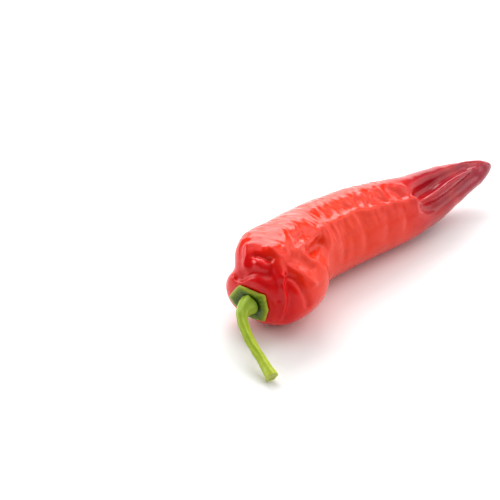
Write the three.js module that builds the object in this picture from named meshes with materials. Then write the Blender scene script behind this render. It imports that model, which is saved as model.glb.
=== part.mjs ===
// A long pointed sweet pepper, picked and lying on its side: fruit, calyx and stem.
// Millimetres, +Z up. The fruit lies along X with its tip at +X, and rests on Z = 0.
import * as THREE from "three";

// ---- Driving dimensions ----

const FRUIT_LENGTH = 199;
const FRUIT_RADIUS = 22; // at its widest, just past the shoulder
const BEND = 11; // how far the body is bent to the side
const TIP_LIFT = 16; // how far the tip's underside is raised off the table

// The fruit's line and girth from the calyx to the tip, as shares of those four sizes.
const STATIONS = [
  { along: 0, girth: 0.885, side: -0.24, lift: -0.02 },
  { along: 0.092, girth: 0.975, side: -0.05, lift: 0 },
  { along: 0.179, girth: 1, side: 0.45, lift: 0 },
  { along: 0.29, girth: 0.93, side: 1, lift: 0 },
  { along: 0.48, girth: 0.873, side: 0.77, lift: 0 },
  { along: 0.66, girth: 0.75, side: 0.27, lift: 0.04 },
  { along: 0.825, girth: 0.55, side: 0.01, lift: 0.39 },
  { along: 1, girth: 0.2, side: -0.5, lift: 1 },
];
const SHOULDER_CAP = 17; // how far the rounded shoulder reaches along the fruit
const SHOULDER_SQUARENESS = 0.72; // 1 is an ellipse, less is a squarer shoulder
const TIP_CAP = 15; // how far the rounded tip reaches back along the fruit
const SEAT_DEPTH = 2.6; // the hollow that the calyx sits in
const SEAT_RADIUS = 11;
const REST_SINK = 0.6; // depth of the flat spot that the fruit's own weight makes

// Valleys in the skin. A path gives places as a share of the skin's length from the
// calyx to the tip, and the angle round the fruit in degrees: 0 is on top, 90 is the
// -Y side. Widths and depths are in mm.
const FURROWS = [
  {
    path: [[0.65, 43], [0.685, 36], [0.75, 28], [0.84, 19], [0.93, 8]],
    width: 3.4,
    depth: 2.8,
  },
  {
    path: [[0.665, 70], [0.69, 76], [0.74, 74], [0.79, 72], [0.84, 67], [0.88, 60], [0.93, 46]],
    width: 3.4,
    depth: 2.2,
  },
  { path: [[0.68, 18], [0.77, 8], [0.88, -8]], width: 5, depth: 1.2 },
  { path: [[0.31, 14], [0.42, 18], [0.555, 22], [0.625, 28]], width: 6, depth: 1.5 },
  { path: [[0.124, 292], [0.28, 282], [0.557, 274], [0.9, 262]], width: 6, depth: 1.6 },
  { path: [[0.186, 160], [0.41, 168], [0.69, 152], [0.89, 150]], width: 5, depth: 0.8 },
];
// The shoulder's lobes are parted by short valleys near the calyx.
const LOBE_VALLEYS = [
  {
    path: [[0.128, 28], [0.114, 44], [0.103, 56], [0.093, 74], [0.088, 90], [0.087, 120]],
    width: 3,
    depth: 1.5,
  },
  { path: [[0.062, 322], [0.093, 302], [0.124, 285], [0.175, 270]], width: 3.6, depth: 1.6 },
  { path: [[0.052, 200], [0.103, 200], [0.165, 205]], width: 4, depth: 1.6 },
  { path: [[0.066, 330], [0.07, 352], [0.079, 8], [0.086, 26]], width: 3, depth: 1.3 },
];
// Dents: place, how long each is along and round the fruit, and its depth in mm.
const DENTS = [
  { at: [0.218, 47], along: 8, round: 8, depth: 3.6 },
  { at: [0.16, 51], along: 5, round: 6, depth: 1.3 },
  { at: [0.2, 22], along: 5, round: 6, depth: 1 },
  { at: [0.245, 68], along: 7, round: 8, depth: 1.5 },
  { at: [0.26, 92], along: 7, round: 9, depth: 2.0 },
  { at: [0.093, 155], along: 10, round: 14, depth: 1.1 },
];
// Swellings stand out as dents go in.
const SWELLINGS = [
  { at: [0.167, 98], along: 10, round: 13, depth: 2.4 },
  { at: [0.167, 318], along: 12, round: 12, depth: 4.5 },
  { at: [0.074, 246], along: 10, round: 11, depth: 4 },
  { at: [0.557, 92], along: 26, round: 16, depth: 0.8 },
];

const FRUIT_SIDES = 76;
const FRUIT_RINGS = 70;

// The calyx is a low green collar with straight sides between its pointed corners.
const CALYX_RADIUS = 10.4; // skin length from its centre to a corner
const CALYX_CORNERS = [
  { angle: 48, reach: 1.05 },
  { angle: 96, reach: 0.92 },
  { angle: 144, reach: 1.07 },
  { angle: 198, reach: 0.99 },
  { angle: 258, reach: 1.1 },
  { angle: 318, reach: 0.9 },
];
const CALYX_THICKNESS = 1.5;
const CALYX_COLLAR = 0.5; // how far the collar stands above the groove round the stem
const CALYX_RIM = 0.9; // thickness at the edge
const STEM_GROOVE = 0.6; // width of the groove round the stem's foot
const FIT_GAP = 0.3; // clearance between pieces that touch
const CALYX_SIDES = 60;

// The stem leaves the calyx, turns down and aside, and its cut end lies on the table:
// distance out from its foot, place to the side (+Y), and share of the fall to the table.
const STEM_REACH = 20.4;
const STEM_SWAY = 29.5;
const STEM_ROUTE = [
  { out: 0, side: 0, fall: 0 },
  { out: 0.16, side: 0, fall: -0.01 },
  { out: 0.32, side: -0.02, fall: 0.01 },
  { out: 0.455, side: -0.09, fall: 0.13 },
  { out: 0.625, side: -0.27, fall: 0.35 },
  { out: 0.755, side: -0.51, fall: 0.59 },
  { out: 0.863, side: -0.745, fall: 0.8 },
  { out: 1, side: -1, fall: 1 },
];
const STEM_FOOT_RADIUS = 5;
const STEM_RADIUS = 2.3; // at its slimmest
const STEM_END_RADIUS = 3.1; // at the cut
const STEM_RIBS = 5; // low ribs that run along the stem
const STEM_RIB = 0.05; // a rib's height, as a share of the stem's radius
const STEM_SIDES = 20;
const STEM_RINGS = 36;

// ---- Small helpers ----

const radians = THREE.MathUtils.degToRad;
const { smoothstep, lerp, clamp } = THREE.MathUtils;

// A smooth curve through values given at increasing places, as a function of place.
function smoothThrough(places, values) {
  const curve = new THREE.SplineCurve(
    places.map((place, i) => new THREE.Vector2(place, values[i])),
  );
  const dense = curve.getPoints(400);
  return (place) => {
    let i = 1;
    while (i < dense.length - 1 && dense[i].x < place) i += 1;
    const [a, b] = [dense[i - 1], dense[i]];
    return lerp(a.y, b.y, (place - a.x) / (b.x - a.x));
  };
}

const middleOf = (ring) =>
  ring.reduce((sum, p) => sum.add(p), new THREE.Vector3()).divideScalar(ring.length);

// The point at an angle round a line: 0 is up, 90 is out to its right.
const pointAcross = (middle, { out, up }, reach, angle) =>
  middle.clone()
    .addScaledVector(up, reach * Math.cos(radians(angle)))
    .addScaledVector(out, reach * Math.sin(radians(angle)));

// A closed skin over rings of points. The first and last rings close on their middles.
function loft(rings) {
  const sides = rings[0].length;
  const points = [middleOf(rings[0]), ...rings.flat(), middleOf(rings.at(-1))];
  const at = (ring, side) => 1 + ring * sides + (side % sides);
  const last = points.length - 1;
  const faces = [];
  for (let side = 0; side < sides; side += 1) {
    faces.push(0, at(0, side + 1), at(0, side));
    faces.push(last, at(rings.length - 1, side), at(rings.length - 1, side + 1));
  }
  for (let ring = 0; ring < rings.length - 1; ring += 1) {
    for (let side = 0; side < sides; side += 1) {
      const [a, b] = [at(ring, side), at(ring, side + 1)];
      const [c, d] = [at(ring + 1, side), at(ring + 1, side + 1)];
      faces.push(a, b, d, a, d, c);
    }
  }
  const geometry = new THREE.BufferGeometry().setFromPoints(points);
  geometry.setIndex(faces);
  geometry.computeVertexNormals();
  return geometry;
}

// ---- The fruit ----

const stationPlaces = STATIONS.map((s) => s.along * FRUIT_LENGTH);
const radiusAt = smoothThrough(stationPlaces, STATIONS.map((s) => s.girth * FRUIT_RADIUS));
const sideAt = smoothThrough(stationPlaces, STATIONS.map((s) => s.side * BEND));
const liftAt = smoothThrough(stationPlaces, STATIONS.map((s) => s.lift * TIP_LIFT));

const axisAt = (along) =>
  new THREE.Vector3(
    along,
    sideAt(along),
    radiusAt(along) + liftAt(along) - REST_SINK,
  );

// The directions across a line that runs forward: out to its right, and up.
function directionsFrom(forward) {
  const out = new THREE.Vector3().crossVectors(forward, new THREE.Vector3(0, 0, 1)).normalize();
  const up = new THREE.Vector3().crossVectors(out, forward);
  return { forward, out, up };
}

// The fruit's own directions at a place along it.
function directionsAt(along) {
  const step = 1;
  const from = axisAt(Math.max(0, along - step));
  const to = axisAt(Math.min(FRUIT_LENGTH, along + step));
  return directionsFrom(to.sub(from).normalize());
}

// The outline from the calyx's centre to the tip, as places along and radii, with the
// skin length up to each.
function outlineOf() {
  const outline = [];
  const steps = 240;
  for (let i = 0; i <= steps; i += 1) {
    const turn = (i / steps) * (Math.PI / 2);
    const along = SHOULDER_CAP * (1 - Math.cos(turn));
    const radius = radiusAt(along) * Math.sin(turn) ** SHOULDER_SQUARENESS;
    outline.push({ along, radius });
  }
  const bodyEnd = FRUIT_LENGTH - TIP_CAP;
  for (let i = 1; i <= steps; i += 1) {
    const along = lerp(SHOULDER_CAP, bodyEnd, i / steps);
    outline.push({ along, radius: radiusAt(along) });
  }
  for (let i = 1; i <= steps; i += 1) {
    const turn = (i / steps) * (Math.PI / 2);
    const along = bodyEnd + TIP_CAP * Math.sin(turn);
    outline.push({ along, radius: radiusAt(along) * Math.cos(turn) });
  }
  for (const point of outline) {
    point.along += SEAT_DEPTH * Math.exp(-((point.radius / SEAT_RADIUS) ** 2))
      * (point.along < SHOULDER_CAP ? 1 : 0);
  }
  outline[0].skin = 0;
  for (let i = 1; i < outline.length; i += 1) {
    const [a, b] = [outline[i - 1], outline[i]];
    b.skin = a.skin + Math.hypot(b.along - a.along, b.radius - a.radius);
  }
  return outline;
}

const outline = outlineOf();
const SKIN_LENGTH = outline.at(-1).skin;

function outlineAt(skin) {
  let i = 1;
  while (i < outline.length - 1 && outline[i].skin < skin) i += 1;
  const [a, b] = [outline[i - 1], outline[i]];
  const share = clamp((skin - a.skin) / Math.max(b.skin - a.skin, 1e-9), 0, 1);
  return { along: lerp(a.along, b.along, share), radius: lerp(a.radius, b.radius, share) };
}

// The shorter way round from one angle to another, in degrees.
const turnBetween = (a, b) => ((((b - a) % 360) + 540) % 360) - 180;

// How near a place on the skin is to a valley's path: 1 on it, 0 away from it.
function nearPath({ path, width }, skin, angle, radius) {
  const perDegree = radians(Math.max(radius, width));
  const across = ([place, turn], angleTo, skinTo) =>
    new THREE.Vector2(skinTo - place * SKIN_LENGTH, turnBetween(turn, angleTo) * perDegree);
  let nearest = Infinity;
  for (let i = 1; i < path.length; i += 1) {
    const step = across(path[i - 1], path[i][1], path[i][0] * SKIN_LENGTH);
    const here = across(path[i - 1], angle, skin);
    const share = clamp(here.dot(step) / step.lengthSq(), 0, 1);
    nearest = Math.min(nearest, here.distanceTo(step.multiplyScalar(share)));
  }
  return Math.exp(-((nearest / width) ** 2));
}

function nearDent({ at, along, round }, skin, angle, radius) {
  const away = radians(turnBetween(at[1], angle)) * radius;
  return Math.exp(-(((skin - at[0] * SKIN_LENGTH) / along) ** 2) - (away / round) ** 2);
}

// How far the skin stands out from the plain outline.
function relief(skin, angle, radius) {
  let height = 0;
  for (const valley of [...FURROWS, ...LOBE_VALLEYS])
    height -= valley.depth * nearPath(valley, skin, angle, radius);
  for (const dent of DENTS) height -= dent.depth * nearDent(dent, skin, angle, radius);
  for (const bump of SWELLINGS) height += bump.depth * nearDent(bump, skin, angle, radius);
  return height * smoothstep(radius, 2, 9);
}

function skinPoint(skin, angle) {
  const { along, radius } = outlineAt(skin);
  const reach = radius + relief(skin, angle, radius);
  const point = pointAcross(axisAt(along), directionsAt(along), reach, angle);
  point.z = Math.max(point.z, 0);
  return point;
}

// The direction straight out of the skin.
function skinNormal(skin, angle) {
  const [ds, da] = [0.4, 2];
  const alongSkin = skinPoint(skin + ds, angle).sub(skinPoint(Math.max(skin - ds, 0.05), angle));
  const roundSkin = skinPoint(skin, angle + da).sub(skinPoint(skin, angle - da));
  return roundSkin.cross(alongSkin).normalize();
}

function fruitGeometry() {
  const rings = [];
  for (let i = 0; i < FRUIT_RINGS; i += 1) {
    const share = (i + 0.6) / FRUIT_RINGS;
    // Rings stand closer at both ends, where the skin curves most.
    const skin = SKIN_LENGTH * (share - 0.055 * Math.sin(2 * Math.PI * share));
    const ring = [];
    for (let side = 0; side < FRUIT_SIDES; side += 1)
      ring.push(skinPoint(skin, (side / FRUIT_SIDES) * 360));
    rings.push(ring);
  }
  return loft(rings);
}

// ---- The calyx ----

// Skin length from the calyx's centre to its edge, on the straight side between the
// two corners that the angle lies between.
function calyxReach(angle) {
  const last = CALYX_CORNERS.length - 1;
  const after = CALYX_CORNERS.findIndex((corner) => corner.angle > angle);
  const to = CALYX_CORNERS[Math.max(after, 0)];
  const from = CALYX_CORNERS[after > 0 ? after - 1 : last];
  const sineTo = (a, b) => Math.sin(radians(turnBetween(a, b)));
  return (CALYX_RADIUS * from.reach * to.reach * sineTo(from.angle, to.angle))
    / (from.reach * sineTo(from.angle, angle) + to.reach * sineTo(angle, to.angle));
}

// The calyx is flat under the stem and in the groove round it, rises to its collar,
// and thins to its edge.
function calyxThicknessAt(skin, reach) {
  const grooveEdge = STEM_FOOT_RADIUS + STEM_GROOVE;
  const share = (skin - grooveEdge) / (reach - grooveEdge);
  const collar = CALYX_THICKNESS + CALYX_COLLAR * smoothstep(share, 0, 0.45);
  return lerp(collar, CALYX_RIM, smoothstep(share, 0.5, 1));
}

function calyxRing(share, isTop) {
  const ring = [];
  for (let side = 0; side < CALYX_SIDES; side += 1) {
    const angle = (side / CALYX_SIDES) * 360;
    const reach = calyxReach(angle);
    const skin = share * reach;
    const height = FIT_GAP + (isTop ? calyxThicknessAt(skin, reach) : 0);
    ring.push(skinPoint(skin, angle).addScaledVector(skinNormal(skin, angle), height));
  }
  return ring;
}

function calyxGeometry() {
  const shares = [0.12, 0.27, 0.42, 0.56, 0.7, 0.82, 0.92, 1];
  const top = shares.map((share) => calyxRing(share, true));
  const under = shares.map((share) => calyxRing(share, false)).reverse();
  return loft([...top, ...under]);
}

// ---- The stem ----

// The stem's foot stands on the calyx, with the clearance that touching pieces keep.
function footRing() {
  const height = FIT_GAP + CALYX_THICKNESS + FIT_GAP;
  const ring = [];
  for (let side = 0; side < STEM_SIDES; side += 1) {
    const angle = (side / STEM_SIDES) * 360;
    const normal = skinNormal(STEM_FOOT_RADIUS, angle);
    ring.push(skinPoint(STEM_FOOT_RADIUS, angle).addScaledVector(normal, height));
  }
  return ring;
}

// The stem's middle line, from its foot to its cut end on the table.
function stemRoute(start) {
  const { forward } = directionsAt(0);
  const ends = start.clone().addScaledVector(forward, -STEM_REACH);
  const fallToTable = ends.z - STEM_END_RADIUS * (1 + STEM_RIB);
  return new THREE.CatmullRomCurve3(
    STEM_ROUTE.map(({ out, side, fall }) => {
      const point = start.clone().addScaledVector(forward, -out * STEM_REACH);
      return point.add(new THREE.Vector3(0, side * STEM_SWAY, -fall * fallToTable));
    }),
  );
}

const stemRadiusAt = smoothThrough(
  [0, 0.16, 0.33, 0.5, 0.7, 0.87, 1],
  [
    STEM_FOOT_RADIUS,
    lerp(STEM_FOOT_RADIUS, STEM_RADIUS, 0.35),
    lerp(STEM_FOOT_RADIUS, STEM_RADIUS, 0.76),
    lerp(STEM_FOOT_RADIUS, STEM_RADIUS, 0.92),
    STEM_RADIUS,
    lerp(STEM_RADIUS, STEM_END_RADIUS, 0.06),
    STEM_END_RADIUS,
  ],
);

function stemGeometry() {
  const foot = footRing();
  const route = stemRoute(middleOf(foot));
  const rings = [foot];
  for (let i = 1; i <= STEM_RINGS; i += 1) {
    const share = i / STEM_RINGS;
    const across = directionsFrom(route.getTangent(share).negate());
    const ring = [];
    for (let side = 0; side < STEM_SIDES; side += 1) {
      const angle = (side / STEM_SIDES) * 360;
      const rib = 1 + STEM_RIB * Math.cos(radians(STEM_RIBS * angle));
      ring.push(pointAcross(route.getPoint(share), across, stemRadiusAt(share) * rib, angle));
    }
    rings.push(ring);
  }
  return loft(rings.reverse());
}

// ---- The pepper ----

function piece(name, geometry, color, roughness) {
  const mesh = new THREE.Mesh(
    geometry,
    new THREE.MeshStandardMaterial({ color, roughness, metalness: 0 }),
  );
  mesh.name = name;
  return mesh;
}

const pepper = new THREE.Group();
pepper.add(
  piece("fruit", fruitGeometry(), 0xc8141a, 0.22),
  piece("calyx", calyxGeometry(), 0x3f6b1d, 0.5),
  piece("stem", stemGeometry(), 0x8fae2e, 0.45),
);

// The origin is on the table, under the middle of the whole pepper.
const box = new THREE.Box3().setFromObject(pepper);
const centre = box.getCenter(new THREE.Vector3());
pepper.position.set(-centre.x, -centre.y, 0);

export default pepper;
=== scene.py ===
"""A long pointed sweet pepper, as picked: glossy red fruit, green calyx and cut stem."""

import math

import bmesh
import bpy
import numpy as np
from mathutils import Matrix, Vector, noise


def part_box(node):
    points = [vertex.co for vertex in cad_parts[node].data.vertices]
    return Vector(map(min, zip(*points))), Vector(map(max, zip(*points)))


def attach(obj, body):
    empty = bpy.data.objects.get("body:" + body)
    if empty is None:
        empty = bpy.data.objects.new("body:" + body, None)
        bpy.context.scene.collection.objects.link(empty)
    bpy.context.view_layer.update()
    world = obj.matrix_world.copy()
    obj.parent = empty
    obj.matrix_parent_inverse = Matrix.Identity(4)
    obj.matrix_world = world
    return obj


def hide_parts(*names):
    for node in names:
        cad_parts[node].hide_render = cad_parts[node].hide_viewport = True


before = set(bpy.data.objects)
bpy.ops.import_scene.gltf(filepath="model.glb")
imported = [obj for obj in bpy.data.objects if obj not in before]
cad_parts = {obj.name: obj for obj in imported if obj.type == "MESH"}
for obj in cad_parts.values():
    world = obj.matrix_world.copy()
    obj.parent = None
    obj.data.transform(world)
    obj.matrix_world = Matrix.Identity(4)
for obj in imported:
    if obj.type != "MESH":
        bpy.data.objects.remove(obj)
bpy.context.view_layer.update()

MM = 0.001
TINY = 0.001 * MM

# ---------------------------------------------------------------- sizes and places

# Places on the fruit's skin are (share of the way from the calyx to the tip, degrees
# round): 0 degrees is on top and 90 is the -Y side. Widths and heights are in mm.

# Folds stand out of the skin, and creases go into it.
FOLDS = [
    # the fold across the calyx end, wide on top and thin lower down
    {"path": [(0.134, 6), (0.125, 20), (0.113, 32), (0.103, 42)], "width": 2.3, "height": 1.9},
    # the shoulder beside it, on the far side
    {"path": [(0.124, 336), (0.102, 342), (0.086, 341)], "width": 2.2, "height": 0.9},
    {"path": [(0.103, 42), (0.098, 47), (0.088, 58), (0.084, 76), (0.079, 94), (0.079, 118)],
     "width": 1.1, "height": 1.0},
    # the flat patch above the calyx
    {"path": [(0.091, 4), (0.09, 13)], "width": 2.3, "height": 1.9},
    # folds where the body bends
    {"path": [(0.135, 22), (0.13, 32), (0.129, 42), (0.135, 54), (0.139, 63), (0.146, 76)],
     "width": 1.5, "height": 0.9},
    {"path": [(0.16, 31), (0.18, 33), (0.205, 34), (0.228, 37), (0.251, 38), (0.285, 35)],
     "width": 1.7, "height": 1.3},
    {"path": [(0.205, 352), (0.181, 6), (0.156, 15), (0.145, 24), (0.14, 31)],
     "width": 1.2, "height": 0.6},
    {"path": [(0.2, 2), (0.182, 13), (0.165, 22), (0.15, 30)], "width": 1.0, "height": 0.5},
    {"path": [(0.235, 356), (0.225, 10), (0.213, 20)], "width": 1.2, "height": 0.5},
    {"path": [(0.29, 44), (0.276, 56), (0.258, 68), (0.24, 82)], "width": 2.4, "height": 0.8},
    {"path": [(0.176, 50), (0.186, 62), (0.196, 78)], "width": 2.4, "height": 0.6},
    # the long ridge from the bend to the tip
    {"path": [(0.285, 35), (0.305, 36), (0.335, 34), (0.363, 34), (0.405, 36), (0.432, 34),
              (0.474, 40), (0.511, 44), (0.544, 42), (0.572, 42), (0.609, 44), (0.64, 48)],
     "width": 2.0, "height": 1.0},
    {"path": [(0.63, 47), (0.674, 50), (0.744, 49), (0.79, 47), (0.83, 43), (0.874, 37),
              (0.911, 30), (0.958, 24)],
     "width": 3.0, "height": 1.1},
    # short cross ribs in the hollow above the ridge
    {"path": [(0.402, 350), (0.41, 10), (0.414, 26)], "width": 1.3, "height": 0.4},
    {"path": [(0.45, 2), (0.446, 18), (0.452, 28)], "width": 1.2, "height": 0.45},
    {"path": [(0.493, 8), (0.48, 20), (0.476, 30)], "width": 1.6, "height": 0.5},
    {"path": [(0.525, 8), (0.516, 20), (0.514, 36)], "width": 1.1, "height": 0.55},
    {"path": [(0.549, 8), (0.556, 22), (0.556, 36)], "width": 1.0, "height": 0.5},
    {"path": [(0.62, 12), (0.63, 24), (0.628, 36)], "width": 2.2, "height": 0.8},
]
CREASES = [
    # round the folds at the calyx end
    {"path": [(0.112, 44), (0.102, 54), (0.093, 72), (0.088, 90), (0.087, 112)],
     "width": 1.2, "depth": 0.9},
    {"path": [(0.112, 14), (0.098, 26), (0.085, 40), (0.075, 56), (0.07, 72)],
     "width": 1.6, "depth": 0.8},
    {"path": [(0.113, 44), (0.117, 51), (0.118, 60), (0.119, 74), (0.122, 86), (0.126, 98)],
     "width": 1.2, "depth": 1.3},
    {"path": [(0.106, 354), (0.11, 6), (0.113, 14)], "width": 1.2, "depth": 1.4},
    {"path": [(0.093, 2), (0.09, 20)], "width": 2.4, "depth": 0.9},
    {"path": [(0.065, 312), (0.066, 344), (0.079, 8), (0.086, 24)], "width": 1.7, "depth": 1.1},
    # dents where the body bends
    {"path": [(0.223, 24), (0.2, 24), (0.181, 26), (0.167, 29), (0.15, 36)],
     "width": 1.2, "depth": 0.5},
    {"path": [(0.155, 44), (0.16, 51), (0.166, 58)], "width": 2.2, "depth": 1.3},
    {"path": [(0.2, 48), (0.22, 47), (0.245, 46)], "width": 2.6, "depth": 2.3},
    {"path": [(0.22, 350), (0.212, 4)], "width": 1.4, "depth": 0.5},
    # shallow dips below the long ridge
    {"path": [(0.582, 54), (0.588, 64), (0.585, 84)], "width": 2.6, "depth": 0.55},
    {"path": [(0.436, 54), (0.437, 70), (0.44, 96)], "width": 3.0, "depth": 0.5},
    {"path": [(0.52, 54), (0.518, 70), (0.51, 90)], "width": 2.6, "depth": 0.4},
    {"path": [(0.37, 50), (0.36, 66), (0.35, 88)], "width": 3.0, "depth": 0.45},
    # dents between the cross ribs
    {"path": [(0.536, 28), (0.54, 37)], "width": 1.4, "depth": 1.2},
    {"path": [(0.583, 12), (0.591, 22), (0.598, 34)], "width": 2.2, "depth": 1.2},
    {"path": [(0.48, 34), (0.49, 26)], "width": 0.9, "depth": 0.7},
    {"path": [(0.428, 14), (0.43, 26)], "width": 1.4, "depth": 0.6},
    {"path": [(0.463, 10), (0.462, 24)], "width": 1.3, "depth": 0.6},
    {"path": [(0.64, 38), (0.652, 41), (0.665, 38)], "width": 1.1, "depth": 0.9},
    # the tip's lower and upper furrows, and the wider start of each
    {"path": [(0.655, 64), (0.68, 74), (0.7, 77), (0.74, 75), (0.79, 73), (0.84, 68), (0.9, 56)],
     "width": 3.0, "depth": 1.7},
    {"path": [(0.66, 40), (0.685, 35), (0.75, 28), (0.8, 24), (0.84, 20), (0.89, 12)],
     "width": 3.2, "depth": 2.0},
    {"path": [(0.675, 33), (0.705, 29), (0.735, 26)], "width": 4.4, "depth": 1.5},
    {"path": [(0.68, 72), (0.7, 76)], "width": 3.2, "depth": 0.9},
]

# Sizes from here to the camera's are in mm, or as their comments say.
TIP_START = 0.6  # share of the way along where the furrowed tip begins
PLAIN_END = (4, 9)  # radii between which the relief fades out at the fruit's two ends

# Lines on the skin waver by this much, in turns this far apart.
WAVER_ALONG = 0.9
WAVER_DEGREES = 4
WAVER_SPACING = 9
WAVER_END = (0.58, 0.68)  # shares of the way along between which they become straight

# Fine cross wrinkles: short along the fruit and long round it, mostly on its upper side.
CRINKLE_HEIGHT = 0.5
CRINKLE_ALONG = 2.1
CRINKLE_ROUND = 7
CRINKLE_MIDDLE = 8  # degrees round, where they are strongest
CRINKLE_BELOW = 0.12  # their share of that strength away from the upper side
CRINKLE_FACING = (0.35, 0.9)  # cosines of the angle from the middle between which they grow
CRINKLE_START = (0.1, 0.2)  # shares of the way along between which they grow
CRINKLE_END = (0.58, 0.72)  # and between which they fade

# Broad, shallow waves all over the skin.
WAVE_HEIGHT = 0.3
WAVE_ALONG = 7
WAVE_ROUND = 16

CALYX_EDGE = 0.47  # share of the way over the calyx at which its thin edge is
CALYX_EDGE_HALF = 0.03  # half of the share over which the veins and lumps stop there
CALYX_VEINS = 22
CALYX_VEIN_HEIGHT = 0.1
CALYX_VEIN_START = (0.45, 0.75)  # shares of the way out to the edge where a vein rises
CALYX_VEIN_WANDER = 2.2  # radians, where a full turn is the gap between two veins
CALYX_VEIN_WANDER_SIZE = 5
CALYX_LUMP_HEIGHT = 0.16
CALYX_LUMP_SIZE = 2.2

STEM_GROOVES = 7
STEM_GROOVE_DEPTH = 0.07
STEM_GROOVE_WANDER = 1.6  # radians, where a full turn is the gap between two grooves
STEM_LUMP_HEIGHT = 0.22
STEM_GRAIN_HEIGHT = 0.06
STEM_FOOT_END = (0.01, 0.06)  # shares of the way along between which the relief grows
# How fine each unevenness of the stem is, along it and round it.
STEM_WANDER_FINENESS = (6, 1)
STEM_LUMP_FINENESS = (14, 1.4)
STEM_GRAIN_FINENESS = (3, 9)

CUT_START = (0.1, 0.6)  # values of along_cut between which the skin becomes the cut
CUT_ROUNDING = 0.15
CUT_GRAIN_HEIGHT = 0.08
# Rings of the cut face, from its rim to its middle: how wide each is, as a share of the
# face's half width, and how many mm further in the dried pith inside it lies.
CUT_RINGS = ((0.09, 0.0), (0.15, 0.09), (0.225, 0.16), (0.3, 0.2))

POLE_SIDES = 14  # a point where at least this many edges meet is the end of a loft

# The camera is a short telephoto that looks down on the calyx end, and angles are degrees.
CAMERA_TURN = -47.5
CAMERA_TILT = 30
CAMERA_DISTANCE = 625.7 * MM
CAMERA_LENS = 85
CAMERA_SENSOR = 36
AIM_ALONG = 59.7 * MM  # from the fruit's calyx end
AIM_PAST = 22.1 * MM  # beyond the fruit's far side

TABLE_LEVEL = 0.0
TABLETOP_SIZE = 8.0  # wide enough to fill every view
GLOW = 0.2  # of the white room all round, where 1 is white
# Softboxes: name, degrees turned from the camera's side, degrees up, distance, width and
# height in metres, and brightness, where 1 is white.
SOFTBOXES = (
    ("back softbox", 190, 42, 1.1, 0.75, 0.7, 5.6),
    ("low backdrop", 178, 12, 1.6, 2.2, 0.6, 1.7),
    ("left window", 250, 23, 1.1, 0.5, 0.6, 4.8),
    ("right softbox", 97, 29, 1.1, 1.7, 1.1, 1.4),
    ("front fill", 0, 62, 1.5, 2.0, 2.0, 0.28),
    ("overhead softbox", 160, 68, 1.5, 2.2, 1.4, 1.7),
)

# Places of the sockets on a Mix node that mixes colours, where names repeat.
MIX_FACTOR, MIX_UNDER, MIX_OVER, MIX_RESULT = 0, 6, 7, 2


# ---------------------------------------------------------------- colours and nodes

def srgb(code):
    """A hex sRGB colour as the linear RGBA that colour sockets take."""
    channels = [int(code[i:i + 2], 16) / 255 for i in (0, 2, 4)]
    linear = [c / 12.92 if c <= 0.04045 else ((c + 0.055) / 1.055) ** 2.4 for c in channels]
    return (*linear, 1.0)


def add(tree, kind, settings=None, inputs=None, stops=None):
    """Adds a node with its settings, its inputs as values or as sockets to link, and the
    (position, hex colour) stops of a colour ramp."""
    node = tree.nodes.new(kind)
    for name, value in (settings or {}).items():
        setattr(node, name, value)
    for name, value in (inputs or {}).items():
        if isinstance(value, bpy.types.NodeSocket):
            tree.links.new(value, node.inputs[name])
        else:
            node.inputs[name].default_value = value
    if stops:
        elements = node.color_ramp.elements
        while len(elements) < len(stops):
            elements.new(1.0)
        for element, (position, code) in zip(elements, stops):
            element.position = position
            element.color = srgb(code)
    return node


def new_material(name):
    """An empty material, its shader, and the object's own coordinates."""
    material = bpy.data.materials.new(name)
    material.use_nodes = True
    tree = material.node_tree
    tree.nodes.clear()
    shader = add(tree, "ShaderNodeBsdfPrincipled")
    add(tree, "ShaderNodeOutputMaterial", inputs={"Surface": shader.outputs[0]})
    place = add(tree, "ShaderNodeTexCoord").outputs["Object"]
    return material, tree, shader, place


def across(size_mm):
    """The scale of a noise whose features are about this many mm across."""
    return 1 / (size_mm * MM)


def painted(tree, under, mask, low, high, most, code):
    """A colour painted over another where a mask goes from low to high, most at high."""
    amount = add(tree, "ShaderNodeMapRange", {"interpolation_type": "SMOOTHSTEP"},
                 {"Value": mask, "From Min": low, "From Max": high, "To Max": most})
    mix = add(tree, "ShaderNodeMix", {"data_type": "RGBA"},
              {MIX_FACTOR: amount.outputs[0], MIX_UNDER: under, MIX_OVER: srgb(code)})
    return mix.outputs[MIX_RESULT]


# ---------------------------------------------------------------- materials

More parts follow.
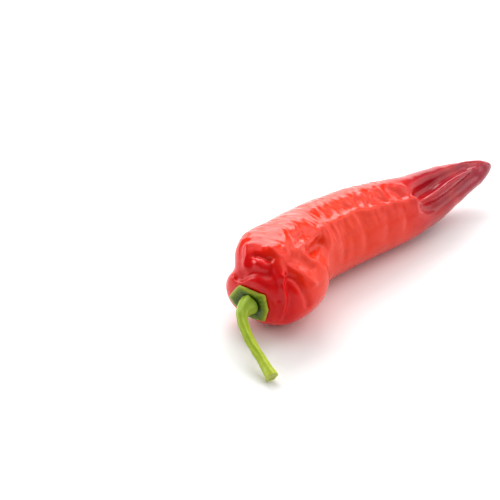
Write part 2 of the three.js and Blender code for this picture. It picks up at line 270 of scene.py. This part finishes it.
def ripe_pepper_skin():
    """Ripe pepper skin under its natural wax: deep saturated red with an even gloss, more
    orange over the body, crimson towards the tip, faintly mottled and streaked."""
    material, tree, shader, place = new_material("Ripe waxed pepper skin")
    along = add(tree, "ShaderNodeAttribute", {"attribute_name": "along"}).outputs["Fac"]
    body = add(tree, "ShaderNodeValToRGB", inputs={"Fac": along}, stops=[
        (0.0, "DE000C"), (0.1, "E20408"), (0.16, "E62C00"), (0.45, "E42E00"),
        (0.6, "DC2202"), (0.66, "BE000C"), (0.72, "A40018"), (1.0, "8A0028")])
    patches = add(tree, "ShaderNodeTexNoise",
                  inputs={"Vector": place, "Scale": across(22), "Detail": 2.0})
    skin = painted(tree, body.outputs["Color"], patches.outputs["Fac"], 0.45, 0.7, 0.25,
                   "EE3C00")
    lengthwise = add(tree, "ShaderNodeMapping", inputs={"Vector": place,
                                                        "Scale": (0.18, 1, 1)})
    streaks = add(tree, "ShaderNodeTexNoise", inputs={
        "Vector": lengthwise.outputs[0], "Scale": across(3), "Detail": 3.0})
    skin = painted(tree, skin, streaks.outputs["Fac"], 0.5, 0.72, 0.18, "B00810")
    freckles = add(tree, "ShaderNodeTexNoise",
                   inputs={"Vector": place, "Scale": across(1.6), "Detail": 1.0})
    skin = painted(tree, skin, freckles.outputs["Fac"], 0.6, 0.75, 0.1, "F04A28")
    tree.links.new(skin, shader.inputs["Base Color"])
    smears = add(tree, "ShaderNodeTexNoise",
                 inputs={"Vector": place, "Scale": across(9), "Detail": 3.0})
    gloss = add(tree, "ShaderNodeMapRange", inputs={
        "Value": smears.outputs["Fac"], "From Min": 0.3, "From Max": 0.7, "To Min": 0.15,
        "To Max": 0.24})
    tree.links.new(gloss.outputs[0], shader.inputs["Roughness"])
    peel = add(tree, "ShaderNodeTexNoise",
               inputs={"Vector": place, "Scale": across(2.2), "Detail": 2.0})
    grain = add(tree, "ShaderNodeTexNoise",
                inputs={"Vector": place, "Scale": across(0.7), "Detail": 1.0})
    uneven = add(tree, "ShaderNodeBump", inputs={
        "Height": peel.outputs["Fac"], "Distance": 0.12 * MM, "Strength": 0.5})
    pored = add(tree, "ShaderNodeBump", inputs={
        "Height": grain.outputs["Fac"], "Distance": 0.02 * MM, "Strength": 0.3,
        "Normal": uneven.outputs[0]})
    tree.links.new(pored.outputs[0], shader.inputs["Normal"])
    # Thin wax over wet flesh mirrors a little less than plastic would.
    shader.inputs["IOR"].default_value = 1.35
    shader.inputs["Subsurface Weight"].default_value = 0.12
    shader.inputs["Subsurface Radius"].default_value = (1.0, 0.18, 0.1)
    shader.inputs["Subsurface Scale"].default_value = 2.5 * MM
    return material


def calyx_leaf():
    """Fleshy calyx leaf: satin green, with painted shade in the groove round the stem,
    and paler on its veins and along its thin edge."""
    material, tree, shader, place = new_material("Fleshy pepper calyx")
    rim = add(tree, "ShaderNodeAttribute", {"attribute_name": "rim"}).outputs["Fac"]
    vein = add(tree, "ShaderNodeAttribute", {"attribute_name": "vein"}).outputs["Fac"]
    # The ramp runs from the stem out to the edge; its dark inner half is painted shade of the
    # groove round the stem.
    body = add(tree, "ShaderNodeValToRGB", inputs={"Fac": rim}, stops=[
        (0.0, "263A00"), (0.5, "2E4400"), (0.64, "466200"), (0.84, "6C8406"),
        (0.94, "94A41A"), (1.0, "A8B42E")])
    leaf = painted(tree, body.outputs["Color"], vein, 0.3, 1.0, 0.4, "88A020")
    blotches = add(tree, "ShaderNodeTexNoise",
                   inputs={"Vector": place, "Scale": across(3.5), "Detail": 4.0})
    leaf = painted(tree, leaf, blotches.outputs["Fac"], 0.5, 0.75, 0.4, "3C5202")
    specks = add(tree, "ShaderNodeTexNoise",
                 inputs={"Vector": place, "Scale": across(0.8), "Detail": 1.0})
    leaf = painted(tree, leaf, specks.outputs["Fac"], 0.62, 0.75, 0.3, "93A84A")
    tree.links.new(leaf, shader.inputs["Base Color"])
    satin = add(tree, "ShaderNodeMapRange", inputs={
        "Value": blotches.outputs["Fac"], "From Min": 0.3, "From Max": 0.7, "To Min": 0.38,
        "To Max": 0.55})
    tree.links.new(satin.outputs[0], shader.inputs["Roughness"])
    skin = add(tree, "ShaderNodeTexNoise", inputs={"Vector": place, "Scale": across(0.6)})
    rough_skin = add(tree, "ShaderNodeBump", inputs={
        "Height": skin.outputs["Fac"], "Distance": 0.06 * MM, "Strength": 0.5})
    tree.links.new(rough_skin.outputs[0], shader.inputs["Normal"])
    shader.inputs["IOR"].default_value = 1.36
    return material


def green_stem():
    """Young pepper stem: satin yellow-green with pale pores, painted highlights along its
    ridges and painted shade in its grooves, yellower towards the cut."""
    material, tree, shader, place = new_material("Green pepper stem")
    along = add(tree, "ShaderNodeAttribute", {"attribute_name": "along"}).outputs["Fac"]
    rib = add(tree, "ShaderNodeAttribute", {"attribute_name": "rib"}).outputs["Fac"]
    body = add(tree, "ShaderNodeValToRGB", inputs={"Fac": along}, stops=[
        (0.0, "84A804"), (0.12, "94B406"), (0.35, "9EB61A"), (0.7, "AABE1C"), (1.0, "B6C424")])
    # Painted highlight: paler along the ridges of the stem's relief.
    stem = painted(tree, body.outputs["Color"], rib, 0.2, 0.9, 0.22, "C4D468")
    # Painted shade: darker in the grooves between the ridges.
    groove = add(tree, "ShaderNodeMath", {"operation": "MULTIPLY"}, {0: rib, 1: -1.0})
    stem = painted(tree, stem, groove.outputs[0], 0.2, 0.9, 0.2, "6E9008")
    blotches = add(tree, "ShaderNodeTexNoise",
                   inputs={"Vector": place, "Scale": across(4), "Detail": 4.0})
    stem = painted(tree, stem, blotches.outputs["Fac"], 0.52, 0.75, 0.3, "72961A")
    pores = add(tree, "ShaderNodeTexNoise",
                inputs={"Vector": place, "Scale": across(0.55), "Detail": 1.0})
    stem = painted(tree, stem, pores.outputs["Fac"], 0.62, 0.74, 0.3, "CDDA86")
    tree.links.new(stem, shader.inputs["Base Color"])
    satin = add(tree, "ShaderNodeMapRange", inputs={
        "Value": blotches.outputs["Fac"], "From Min": 0.3, "From Max": 0.7, "To Min": 0.32,
        "To Max": 0.48})
    tree.links.new(satin.outputs[0], shader.inputs["Roughness"])
    grain = add(tree, "ShaderNodeTexNoise",
                inputs={"Vector": place, "Scale": across(0.5), "Detail": 2.0})
    grainy = add(tree, "ShaderNodeBump", inputs={
        "Height": grain.outputs["Fac"], "Distance": 0.05 * MM, "Strength": 0.5})
    tree.links.new(grainy.outputs[0], shader.inputs["Normal"])
    shader.inputs["IOR"].default_value = 1.42
    shader.inputs["Subsurface Weight"].default_value = 0.1
    shader.inputs["Subsurface Radius"].default_value = (0.5, 1.0, 0.15)
    shader.inputs["Subsurface Scale"].default_value = 1.5 * MM
    return material


def cut_stem():
    """Freshly cut stem end: damp pale pith in the middle, a greener ring of fibres, and
    browned specks where it has dried."""
    material, tree, shader, place = new_material("Cut pepper stem")
    out = add(tree, "ShaderNodeAttribute", {"attribute_name": "along_cut"}).outputs["Fac"]
    flesh = add(tree, "ShaderNodeValToRGB", inputs={"Fac": out}, stops=[
        (0.0, "C8CC78"), (0.45, "BCC45C"), (0.7, "A2B236"), (0.86, "C4CC70"), (1.0, "B2BC48")])
    dried = add(tree, "ShaderNodeTexNoise",
                inputs={"Vector": place, "Scale": across(0.9), "Detail": 4.0})
    cut = painted(tree, flesh.outputs["Color"], dried.outputs["Fac"], 0.52, 0.72, 0.4, "9A8C44")
    tree.links.new(cut, shader.inputs["Base Color"])
    torn = add(tree, "ShaderNodeBump", inputs={
        "Height": dried.outputs["Fac"], "Distance": 0.2 * MM, "Strength": 0.6})
    tree.links.new(torn.outputs[0], shader.inputs["Normal"])
    shader.inputs["Roughness"].default_value = 0.7
    return material


def white_tabletop():
    """Smooth white laminate: clean, bright and matt, very slightly clouded."""
    material, tree, shader, place = new_material("White tabletop")
    cloud = add(tree, "ShaderNodeTexNoise",
                inputs={"Vector": place, "Scale": across(400), "Detail": 2.0})
    white = add(tree, "ShaderNodeValToRGB", inputs={"Fac": cloud.outputs["Fac"]},
                stops=[(0.3, "F1F0F0"), (0.7, "F5F4F4")])
    tree.links.new(white.outputs["Color"], shader.inputs["Base Color"])
    shader.inputs["Roughness"].default_value = 0.6
    shader.inputs["Specular IOR Level"].default_value = 0.2
    return material


# ---------------------------------------------------------------- working on meshes

def merged_copy(node, name):
    """A copy of a CAD solid in one piece, as quads, in an object of its own."""
    bm = bmesh.new()
    bm.from_mesh(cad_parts[node].data)
    bmesh.ops.remove_doubles(bm, verts=bm.verts, dist=TINY)
    # The fans of triangles round the two poles stay as they are.
    plain = [face for face in bm.faces
             if all(len(vert.link_edges) < POLE_SIDES for vert in face.verts)]
    bmesh.ops.join_triangles(bm, faces=plain, angle_face_threshold=math.pi,
                             angle_shape_threshold=math.pi)
    for face in bm.faces:
        face.smooth = True
        face.material_index = 0
    mesh = bpy.data.meshes.new(name)
    bm.to_mesh(mesh)
    bm.free()
    # What the loose triangles' corners held doesn't fit the joined faces.
    for attribute in [a for a in mesh.attributes
                      if a.domain == "CORNER" and not a.is_required]:
        mesh.attributes.remove(attribute)
    piece = bpy.data.objects.new(name, mesh)
    bpy.context.scene.collection.objects.link(piece)
    return piece


def stored(mesh, name):
    """A value stored on a mesh's points, as an array."""
    values = np.zeros(len(mesh.vertices), np.float32)
    mesh.attributes[name].data.foreach_get("value", values)
    return values.astype(float)


def store(mesh, name, values):
    """Stores a list or an array of values on a mesh's points."""
    attribute = mesh.attributes.new(name, "FLOAT", "POINT")
    attribute.data.foreach_set("value", np.array(values, np.float32))


def rings_from(mesh, start):
    """The rings of a lofted mesh, as lists of vertex numbers, out from the pole nearest
    to a place, and each vertex's neighbours."""
    beside = [[] for _ in mesh.vertices]
    for edge in mesh.edges:
        a, b = edge.vertices
        beside[a].append(b)
        beside[b].append(a)
    poles = [i for i, near in enumerate(beside) if len(near) >= POLE_SIDES]
    pole = min(poles, key=lambda i: (mesh.vertices[i].co - start).length)
    rings, seen = [[pole]], {pole}
    while rings[-1]:
        ring = {j for i in rings[-1] for j in beside[i]} - seen
        seen |= ring
        rings.append(sorted(ring))
    return rings[:-1], beside


def mark_places(piece, start, straight=None):
    """Stores each point's share of the way along a lofted piece, the cosine and sine of
    its angle round it, and its radius in mm. Returns the length along its skin in mm. The
    way follows the middles of the rings, unless a straight direction is given."""
    mesh = piece.data
    rings, beside = rings_from(mesh, start)
    points = [v.co for v in mesh.vertices]
    depth = {i: d for d, ring in enumerate(rings) for i in ring}
    steps = [0.0]
    for d, ring in enumerate(rings[:-1]):
        nearest = [min((points[i] - points[j]).length for j in beside[i] if depth[j] == d + 1)
                   for i in ring]
        steps.append(steps[-1] + sum(nearest) / len(nearest))
    middles = [sum((points[i] for i in ring), Vector()) / len(ring) for ring in rings]
    values = {name: [0.0] * len(points) for name in ("along", "cosine", "sine", "radius")}
    for d, ring in enumerate(rings):
        before, after = middles[max(d - 1, 0)], middles[min(d + 1, len(rings) - 1)]
        forward = straight or (after - before).normalized()
        out = forward.cross(Vector((0, 0, 1))).normalized()
        up = out.cross(forward)
        for i in ring:
            away = points[i] - middles[d]
            reach = max(math.hypot(away.dot(up), away.dot(out)), TINY)
            values["along"][i] = steps[d] / steps[-1]
            values["cosine"][i] = away.dot(up) / reach
            values["sine"][i] = away.dot(out) / reach
            values["radius"][i] = reach / MM
    for name, numbers in values.items():
        store(mesh, name, numbers)
    return steps[-1] / MM


def smoothed(piece, levels):
    """Turns a piece into its own subdivision surface."""
    modifier = piece.modifiers.new("Round the skin", "SUBSURF")
    modifier.levels = modifier.render_levels = levels
    view = bpy.context.evaluated_depsgraph_get()
    mesh = bpy.data.meshes.new_from_object(piece.evaluated_get(view))
    mesh.name = piece.name
    piece.modifiers.clear()
    piece.data = mesh


def soften(piece, start, end, times):
    """Evens out a piece between two shares of its length, a number of times over."""
    bm = bmesh.new()
    bm.from_mesh(piece.data)
    along = bm.verts.layers.float["along"]
    chosen = [v for v in bm.verts if start < v[along] < end]
    for _ in range(times):
        bmesh.ops.smooth_vert(bm, verts=chosen, factor=0.5, use_axis_x=True,
                              use_axis_y=True, use_axis_z=True)
    bm.to_mesh(piece.data)
    bm.free()


def push_out(mesh, height_mm, lowest=None):
    """Moves each point along its normal, and keeps it above the lowest level if given."""
    count = len(mesh.vertices)
    points = np.zeros(count * 3, np.float32)
    normals = np.zeros(count * 3, np.float32)
    mesh.vertices.foreach_get("co", points)
    mesh.vertex_normals.foreach_get("vector", normals)
    points = points.reshape(-1, 3) + normals.reshape(-1, 3) * (height_mm * MM)[:, None]
    if lowest is not None:
        points[:, 2] = np.maximum(points[:, 2], lowest)
    mesh.vertices.foreach_set("co", points.ravel())
    mesh.update()


def rough(places, seed):
    """Smooth noise from -1 to 1 at each of an array of places."""
    shift = Vector((seed * 7.31, seed * 3.17, seed * 5.53))
    return np.array([noise.noise(Vector(place) + shift) for place in places])


def step_between(values, low, high):
    """0 below low, 1 above high, and smooth between them."""
    share = np.clip((values - low) / (high - low), 0, 1)
    return share * share * (3 - 2 * share)


# ---------------------------------------------------------------- the fruit

def turn_between(a, b):
    """The shorter way round from angle a to angle b, in degrees."""
    return (b - a + 180) % 360 - 180


def nearness(line, width, skin_length, skin, angle, radius):
    """How near each point of the skin is to a line on it: 1 on it, 0 away from it."""
    per_degree = np.radians(np.maximum(radius, width))
    nearest = np.full(len(skin), np.inf)
    for (start, turn), (end, end_turn) in zip(line, line[1:]):
        step_x = (end - start) * skin_length
        step_y = turn_between(turn, end_turn) * per_degree
        here_x = skin - start * skin_length
        here_y = turn_between(turn, angle) * per_degree
        share = (here_x * step_x + here_y * step_y) / (step_x ** 2 + step_y ** 2)
        share = np.clip(share, 0, 1)
        nearest = np.minimum(nearest, np.hypot(here_x - share * step_x,
                                               here_y - share * step_y))
    return np.exp(-(nearest / width) ** 2)


def skin_relief(mesh, skin_length):
    """How far each point of the fruit's skin stands out of the plain form, in mm."""
    along, radius = stored(mesh, "along"), stored(mesh, "radius")
    angle = np.degrees(np.arctan2(stored(mesh, "sine"), stored(mesh, "cosine")))
    skin = along * skin_length

    def places(size_along, size_round):
        """Places on the skin for a noise of these sizes along the fruit and round it."""
        return np.stack([skin / size_along, np.cos(np.radians(angle)) * radius / size_round,
                         np.sin(np.radians(angle)) * radius / size_round], axis=1)

    # Folds waver a little, as grown ones do, except along the straight tip.
    wavering = 1 - step_between(along, *WAVER_END)
    wander = places(WAVER_SPACING, WAVER_SPACING)
    skin_here = skin + WAVER_ALONG * wavering * rough(wander, seed=1)
    angle_here = angle + WAVER_DEGREES * wavering * rough(wander, seed=2)
    height = np.zeros(len(skin))
    for fold in FOLDS:
        height += fold["height"] * nearness(fold["path"], fold["width"], skin_length,
                                            skin_here, angle_here, radius)
    for crease in CREASES:
        height -= crease["depth"] * nearness(crease["path"], crease["width"], skin_length,
                                             skin_here, angle_here, radius)
    facing = np.cos(np.radians(turn_between(CRINKLE_MIDDLE, angle)))
    strength = CRINKLE_BELOW + (1 - CRINKLE_BELOW) * step_between(facing, *CRINKLE_FACING)
    body = step_between(along, *CRINKLE_START) * (1 - step_between(along, *CRINKLE_END))
    crinkles = rough(places(CRINKLE_ALONG, CRINKLE_ROUND), seed=3)
    height += CRINKLE_HEIGHT * strength * body * crinkles
    height += WAVE_HEIGHT * rough(places(WAVE_ALONG, WAVE_ROUND), seed=4)
    return height * step_between(radius, *PLAIN_END)


def make_fruit():
    """The fruit: its CAD form, rounded, then sculpted with its folds and wrinkles."""
    fruit = merged_copy("fruit", "pepper_fruit")
    low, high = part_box("fruit")
    calyx_end = Vector((low.x, (low.y + high.y) / 2, (low.z + high.z) / 2))
    skin_length = mark_places(fruit, calyx_end)
    smoothed(fruit, levels=2)
    soften(fruit, TIP_START, end=0.94, times=12)
    push_out(fruit.data, skin_relief(fruit.data, skin_length), lowest=low.z)
    soften(fruit, TIP_START, end=0.97, times=6)
    fruit.data.materials.append(ripe_pepper_skin())
    return fruit


# ---------------------------------------------------------------- the calyx

def make_calyx():
    """The calyx: a green collar, slightly lumpy, with fine veins out to its thin edge."""
    calyx = merged_copy("calyx", "pepper_calyx")
    low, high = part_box("calyx")
    middle = (low + high) / 2
    stem_side = Vector((low.x - (high.x - low.x), middle.y, middle.z))
    mark_places(calyx, stem_side, straight=Vector((1, 0, 0)))
    smoothed(calyx, levels=2)
    mesh = calyx.data
    along, radius = stored(mesh, "along"), stored(mesh, "radius")
    angle = np.arctan2(stored(mesh, "sine"), stored(mesh, "cosine"))
    is_top = 1 - step_between(along, CALYX_EDGE - CALYX_EDGE_HALF, CALYX_EDGE + CALYX_EDGE_HALF)
    rim = np.clip(along / CALYX_EDGE, 0, 1)
    places = np.stack([np.cos(angle) * radius, np.sin(angle) * radius, 0 * radius], axis=1)
    wander = CALYX_VEIN_WANDER * rough(places / CALYX_VEIN_WANDER_SIZE, seed=5)
    vein = np.cos(angle * CALYX_VEINS + wander)
    ridge = np.clip(vein, 0, 1) ** 2 * step_between(rim, *CALYX_VEIN_START)
    lumps = CALYX_LUMP_HEIGHT * rough(places / CALYX_LUMP_SIZE, seed=6)
    height = is_top * (CALYX_VEIN_HEIGHT * ridge + lumps)
    # Stored for the calyx's colour, which paints shade near the stem and grows paler towards the
    # edge.
    store(mesh, "rim", rim)
    store(mesh, "vein", ridge * is_top)
    push_out(mesh, height)
    calyx.data.materials.append(calyx_leaf())
    return calyx


# ---------------------------------------------------------------- the stem

def cut_across(stem):
    """Makes the stem's far end a cut: a face of its own, rounded where the skin was cut
    through and hollow in the middle, with its share of the way out stored on it."""
    bm = bmesh.new()
    bm.from_mesh(stem.data)
    along_layer = bm.verts.layers.float["along"]
    pole = max(bm.verts, key=lambda v: v[along_layer])
    bmesh.ops.dissolve_verts(bm, verts=[pole])
    cut = max(bm.faces, key=lambda f: min(v[along_layer] for v in f.verts))
    bmesh.ops.bevel(bm, geom=list(cut.edges), offset=CUT_ROUNDING * MM, offset_type="OFFSET",
                    affect="EDGES", segments=2, profile=0.5, material=-1)
    cut = max(bm.faces, key=lambda f: len(f.verts))
    cut_layer = bm.verts.layers.float.new("along_cut")
    for vert in cut.verts:
        vert[cut_layer] = 1.0
    outward = cut.normal.copy()
    half = max((v.co - cut.calc_center_median()).length for v in cut.verts)
    for width, sink in CUT_RINGS:
        bmesh.ops.inset_region(bm, faces=[cut], thickness=width * half, use_even_offset=True)
        for vert in cut.verts:
            vert.co -= outward * sink * MM
            vert[cut_layer] = max((v.co - cut.calc_center_median()).length
                                  for v in cut.verts) / half
    for face in bm.faces:
        on_cut = face == cut or all(v[cut_layer] > 0 for v in face.verts)
        face.material_index = 1 if on_cut else 0
        face.smooth = True
    bm.to_mesh(stem.data)
    bm.free()


def make_stem():
    """The stem: faintly grooved and lumpy, with a rough pale cut end."""
    stem = merged_copy("stem", "pepper_stem")
    stem_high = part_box("stem")[1]
    calyx_low, calyx_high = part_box("calyx")
    calyx_middle = (calyx_low + calyx_high) / 2
    foot = Vector((stem_high.x, calyx_middle.y, calyx_middle.z))
    mark_places(stem, foot)
    cut_across(stem)
    stem.data.materials.append(green_stem())
    stem.data.materials.append(cut_stem())
    smoothed(stem, levels=2)
    mesh = stem.data
    along = stored(mesh, "along")
    angle = np.arctan2(stored(mesh, "sine"), stored(mesh, "cosine"))
    is_side = 1 - step_between(stored(mesh, "along_cut"), *CUT_START)

    def places(along_it, round_it):
        """Places on the stem for a noise as fine as this along it and round it."""
        return np.stack([along * along_it, np.cos(angle) * round_it,
                         np.sin(angle) * round_it], axis=1)

    wander = STEM_GROOVE_WANDER * rough(places(*STEM_WANDER_FINENESS), seed=7)
    rib = np.cos(STEM_GROOVES * angle + wander)
    lumps = STEM_LUMP_HEIGHT * rough(places(*STEM_LUMP_FINENESS), seed=8)
    grain = STEM_GRAIN_HEIGHT * rough(places(*STEM_GRAIN_FINENESS), seed=9)
    torn = CUT_GRAIN_HEIGHT * rough(places(*STEM_GRAIN_FINENESS), seed=10)
    height = is_side * (STEM_GROOVE_DEPTH * rib + lumps + grain) + (1 - is_side) * torn
    # Stored for the stem's painted highlights on the ridges and painted shade in the grooves.
    store(mesh, "rib", rib * is_side)
    push_out(mesh, height * step_between(along, *STEM_FOOT_END), lowest=TABLE_LEVEL)
    return stem


# ---------------------------------------------------------------- the object

for make, node, slot in (
    (make_fruit, "fruit", "pepper_skin"),
    (make_calyx, "calyx", "calyx_green"),
    (make_stem, "stem", "stem_green"),
):
    piece = make()
    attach(piece, "root")
    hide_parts(node)


# ---------------------------------------------------------------- floor, light, camera

def make_floor():
    """A plain pale tabletop."""
    bm = bmesh.new()
    bmesh.ops.create_grid(bm, x_segments=1, y_segments=1, size=TABLETOP_SIZE / 2)
    mesh = bpy.data.meshes.new("tabletop")
    bm.to_mesh(mesh)
    bm.free()
    floor = bpy.data.objects.new("tabletop", mesh)
    bpy.context.scene.collection.objects.link(floor)
    floor.data.materials.append(white_tabletop())


def toward(turn_degrees, tilt_degrees):
    """A direction from the pepper, turned from the camera's own side and tilted up."""
    turn = math.radians(CAMERA_TURN + turn_degrees)
    tilt = math.radians(tilt_degrees)
    return Vector((math.sin(turn) * math.cos(tilt), -math.cos(turn) * math.cos(tilt),
                   math.sin(tilt)))


def add_softbox(name, turn, tilt, distance, width, height, brightness):
    """A rectangular white softbox that faces the pepper."""
    light = bpy.data.lights.new(name, "AREA")
    light.shape = "RECTANGLE"
    light.size = width
    light.size_y = height
    light.energy = brightness * math.pi * width * height
    lamp = bpy.data.objects.new(name, light)
    lamp.location = toward(turn, tilt) * distance
    lamp.rotation_euler = (-toward(turn, tilt)).to_track_quat("-Z", "Y").to_euler()
    bpy.context.scene.collection.objects.link(lamp)


def add_studio_glow(strength):
    """Even pale light from all round, as in a white studio."""
    world = bpy.data.worlds.new("Studio glow")
    world.use_nodes = True
    background = world.node_tree.nodes["Background"]
    background.inputs["Color"].default_value = srgb("FFFFFF")
    background.inputs["Strength"].default_value = strength
    bpy.context.scene.world = world


def add_camera():
    """The camera, on a point of the table just beyond the fruit."""
    low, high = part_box("fruit")
    aim = Vector((low.x + AIM_ALONG, high.y + AIM_PAST, low.z))
    data = bpy.data.cameras.new("camera")
    data.lens = CAMERA_LENS
    data.sensor_width = CAMERA_SENSOR
    camera = bpy.data.objects.new("camera", data)
    back = toward(0, CAMERA_TILT)
    camera.location = aim + back * CAMERA_DISTANCE
    camera.rotation_euler = (-back).to_track_quat("-Z", "Y").to_euler()
    bpy.context.scene.collection.objects.link(camera)
    bpy.context.scene.camera = camera


make_floor()
add_studio_glow(GLOW)
for softbox in SOFTBOXES:
    add_softbox(*softbox)
add_camera()
bpy.context.scene.view_settings.view_transform = "Standard"
